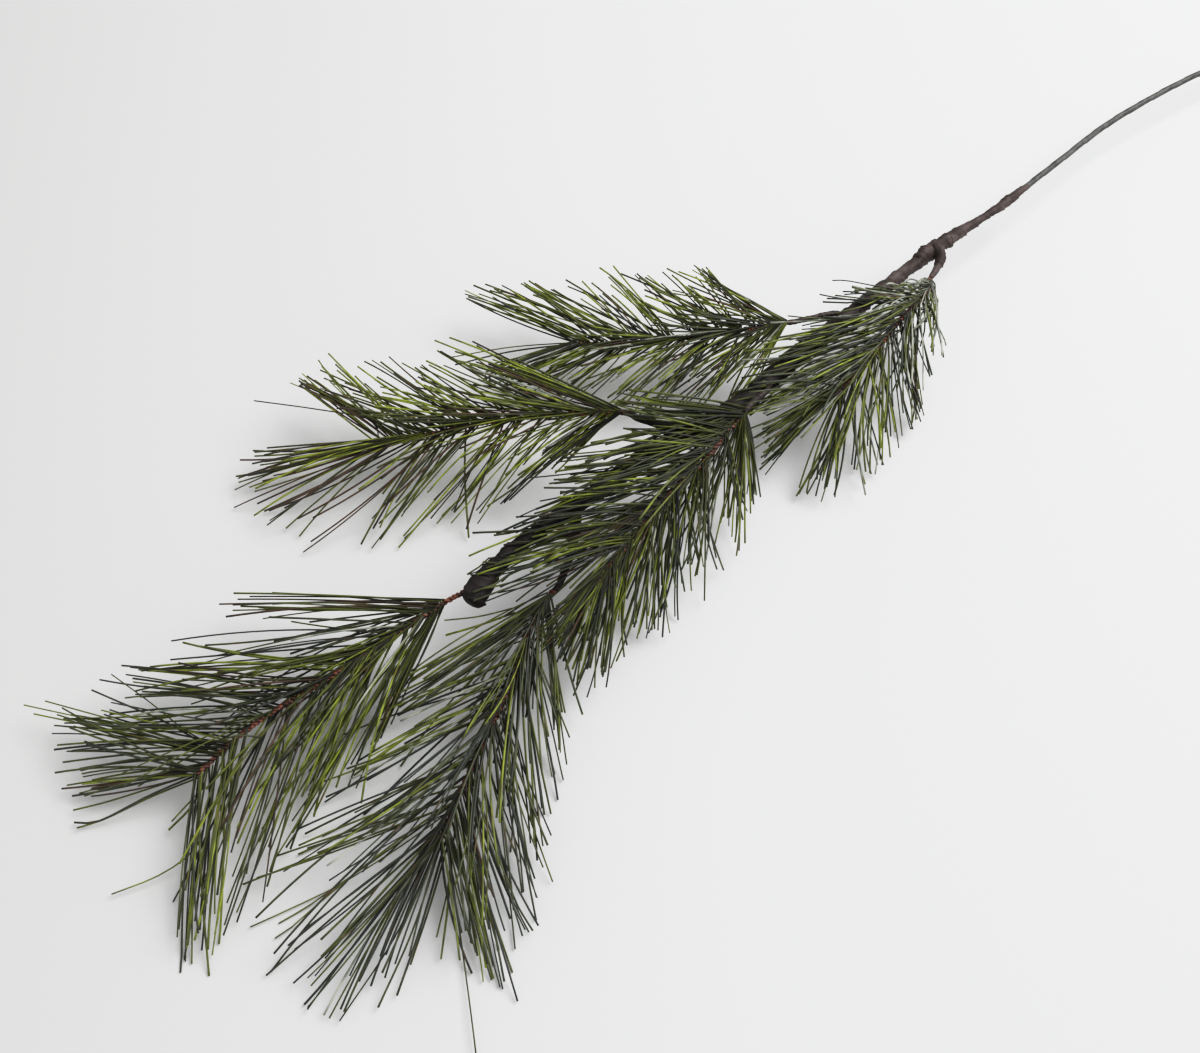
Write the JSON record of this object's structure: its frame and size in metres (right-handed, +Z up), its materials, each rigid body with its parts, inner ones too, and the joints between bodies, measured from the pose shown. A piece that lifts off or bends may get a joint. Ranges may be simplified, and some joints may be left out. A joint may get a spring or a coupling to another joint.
{
  "type": "artificial pine spray",
  "caption": "Lying spray of long-needle artificial pine: needled twisted-wire sprigs bound with brown floral tape to a long wrapped stem wire.",
  "frame": {"origin": "on the surface that the spray lies on, below the middle of its bounding box", "axes": "+X along the spray from its needle tips towards the stem's cut end, +Z up from the surface, +Y across the spray, away from the viewer of the picture"},
  "size_m": [0.8105, 0.324, 0.068],
  "materials": {
    "stem_wrap": "smooth grey-green wrap, dull",
    "floral_tape": "dark brown waxed crepe tape, spiral wound",
    "twisted_wire": "red-brown coated wire, twisted pair",
    "needle_plastic": "mottled green plastic with a slight sheen"
  },
  "bodies": {
    "root": {"stem_wire": "stem_wrap", "stem_tape_lower": "floral_tape", "stem_tape_knot": "floral_tape", "stem_tape_middle": "floral_tape", "stem_tape_fork": "floral_tape", "stem_tape_end": "floral_tape", "sprig_1_wire": "twisted_wire", "sprig_2_wire": "twisted_wire", "sprig_3_wire": "twisted_wire", "sprig_4_wire": "twisted_wire", "sprig_5_wire": "twisted_wire", "sprig_6_wire": "twisted_wire", "sprig_2_shank_tape": "floral_tape", "sprig_4_shank_tape": "floral_tape", "sprig_6_shank_tape": "floral_tape", "sprig_1_needles": "needle_plastic", "sprig_2_needles": "needle_plastic", "sprig_3_needles": "needle_plastic", "sprig_4_needles": "needle_plastic", "sprig_5_needles": "needle_plastic", "sprig_6_needles": "needle_plastic"}
  },
  "joints": []
}
